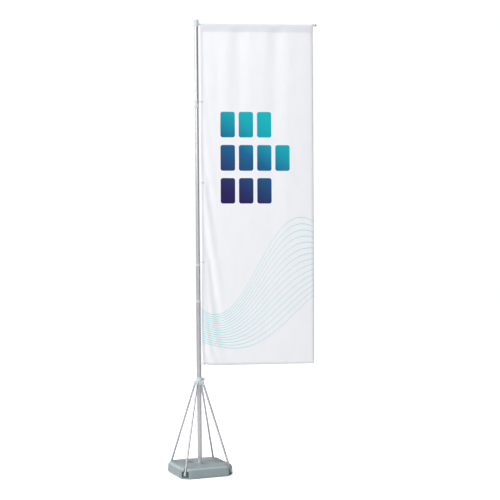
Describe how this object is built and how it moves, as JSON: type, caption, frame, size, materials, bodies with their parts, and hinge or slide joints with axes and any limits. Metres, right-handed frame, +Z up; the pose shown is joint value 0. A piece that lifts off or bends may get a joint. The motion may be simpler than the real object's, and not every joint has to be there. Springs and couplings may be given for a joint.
{
  "type": "banner stand",
  "caption": "Rectangular banner hung from a swivelling top arm on a telescopic mast, braced by folding struts over a square water-filled tank.",
  "frame": {"origin": "on the floor, on the mast's axis, under the middle of the tank", "axes": "+Z up along the mast; +X along the arm at rest, from the mast to the banner's free edge; the banner's faces look along -Y and +Y"},
  "size_m": [1.3464, 0.5588, 3.985],
  "materials": {
    "tank_plastic": "rotomoulded grey polyethylene, faint orange peel",
    "water": "ballast water, never seen",
    "rubber": "moulded black rubber",
    "pale_plastic": "satin pale grey moulding",
    "dark_plastic": "satin dark grey moulding",
    "aluminium": "satin, clear anodised, drawn along its length",
    "zinc_steel": "bright zinc plate",
    "nickel": "nickel-plated brass",
    "banner_cloth": "woven white polyester, printed with a plain colour pattern"
  },
  "bodies": {
    "stand": {"tank": "tank_plastic", "ballast_water": "water", "filler_seal": "rubber", "mast_foot": "pale_plastic", "lower_tube": "aluminium", "lower_tube_bush": "pale_plastic", "hub": "pale_plastic", "hub_pin_1": "zinc_steel", "hub_pin_2": "zinc_steel", "hub_pin_3": "zinc_steel", "hub_pin_4": "zinc_steel", "strut_bracket_1": "tank_plastic", "strut_bracket_2": "tank_plastic", "strut_bracket_3": "tank_plastic", "strut_bracket_4": "tank_plastic", "bracket_pin_1": "zinc_steel", "bracket_pin_2": "zinc_steel", "bracket_pin_3": "zinc_steel", "bracket_pin_4": "zinc_steel"},
    "filler_cap": {"filler_cap": "tank_plastic"},
    "clamp_knob": {"clamp_knob": "pale_plastic", "knob_stud": "zinc_steel"},
    "strut_1": {"strut_head_1": "pale_plastic", "strut_tube_1": "aluminium", "strut_foot_1": "pale_plastic"},
    "strut_2": {"strut_head_2": "pale_plastic", "strut_tube_2": "aluminium", "strut_foot_2": "pale_plastic"},
    "strut_3": {"strut_head_3": "pale_plastic", "strut_tube_3": "aluminium", "strut_foot_3": "pale_plastic"},
    "strut_4": {"strut_head_4": "pale_plastic", "strut_tube_4": "aluminium", "strut_foot_4": "pale_plastic"},
    "middle_section": {"middle_tube": "aluminium", "middle_tube_bush": "pale_plastic", "middle_guide_ring": "dark_plastic"},
    "upper_section": {"upper_tube": "aluminium", "upper_lock_plug": "dark_plastic", "swivel_pivot": "dark_plastic"},
    "swivel_arm": {"sleeve_bush": "pale_plastic", "swivel_sleeve": "aluminium", "top_cap": "pale_plastic", "arm_tube": "aluminium", "arm_end_cap": "dark_plastic", "banner": "banner_cloth"},
    "hoist_loop_1": {"hoist_loop_1": "pale_plastic", "grommet_1": "nickel"},
    "hoist_loop_2": {"hoist_loop_2": "pale_plastic", "grommet_2": "nickel"},
    "hoist_loop_3": {"hoist_loop_3": "pale_plastic", "grommet_3": "nickel"},
    "hoist_loop_4": {"hoist_loop_4": "pale_plastic", "grommet_4": "nickel"}
  },
  "joints": [
    {"name": "mast_raise", "type": "slide", "parent": "stand", "child": "middle_section", "axis": [0, 0, 1], "range_m": [0, 0.45]},
    {"name": "mast_lower", "type": "slide", "parent": "middle_section", "child": "upper_section", "axis": [0, 0, 1], "range_m": [-1.3, 0], "deforming": ["banner"]},
    {"name": "arm_swivel", "type": "hinge", "parent": "upper_section", "child": "swivel_arm", "pos_m": [0, 0, 3.941], "axis": [0, 0, 1], "continuous": true},
    {"name": "loop_slide_1", "type": "slide", "parent": "swivel_arm", "child": "hoist_loop_1", "axis": [0, 0, 1], "range_m": [0, 0.2995]},
    {"name": "loop_slide_2", "type": "slide", "parent": "swivel_arm", "child": "hoist_loop_2", "axis": [0, 0, 1], "range_m": [0, 0.6075]},
    {"name": "loop_slide_3", "type": "slide", "parent": "swivel_arm", "child": "hoist_loop_3", "axis": [0, 0, 1], "range_m": [0, 0.91]},
    {"name": "loop_slide_4", "type": "slide", "parent": "swivel_arm", "child": "hoist_loop_4", "axis": [0, 0, 1], "range_m": [0, 1.2945]},
    {"name": "strut_fold_1", "type": "hinge", "parent": "stand", "child": "strut_1", "pos_m": [-0.01745, -0.03149, 0.8], "axis": [-0.8746, 0.4848, 0], "range_deg": [0, 70]},
    {"name": "strut_fold_2", "type": "hinge", "parent": "stand", "child": "strut_2", "pos_m": [0.03149, -0.01745, 0.8], "axis": [-0.4848, -0.8746, 0], "range_deg": [0, 70]},
    {"name": "strut_fold_3", "type": "hinge", "parent": "stand", "child": "strut_3", "pos_m": [0.01745, 0.03149, 0.8], "axis": [0.8746, -0.4848, 0], "range_deg": [0, 70]},
    {"name": "strut_fold_4", "type": "hinge", "parent": "stand", "child": "strut_4", "pos_m": [-0.03149, 0.01745, 0.8], "axis": [0.4848, 0.8746, 0], "range_deg": [0, 70]},
    {"name": "knob_turn", "type": "hinge", "parent": "stand", "child": "clamp_knob", "pos_m": [0.03845, 0.01103, 0.826], "axis": [0.9613, 0.2756, 0], "range_deg": [0, 360]},
    {"name": "cap_turn", "type": "hinge", "parent": "stand", "child": "filler_cap", "pos_m": [-0.08931, 0.02849, 0.09], "axis": [0, 0, 1], "range_deg": [0, 540]}
  ],
  "couplings": [
    {"joint": "loop_slide_1", "follows": "mast_lower", "ratio": -0.22943},
    {"joint": "loop_slide_2", "follows": "mast_lower", "ratio": -0.46643},
    {"joint": "loop_slide_3", "follows": "mast_lower", "ratio": -0.6991},
    {"joint": "loop_slide_4", "follows": "mast_lower", "ratio": -0.99477}
  ]
}
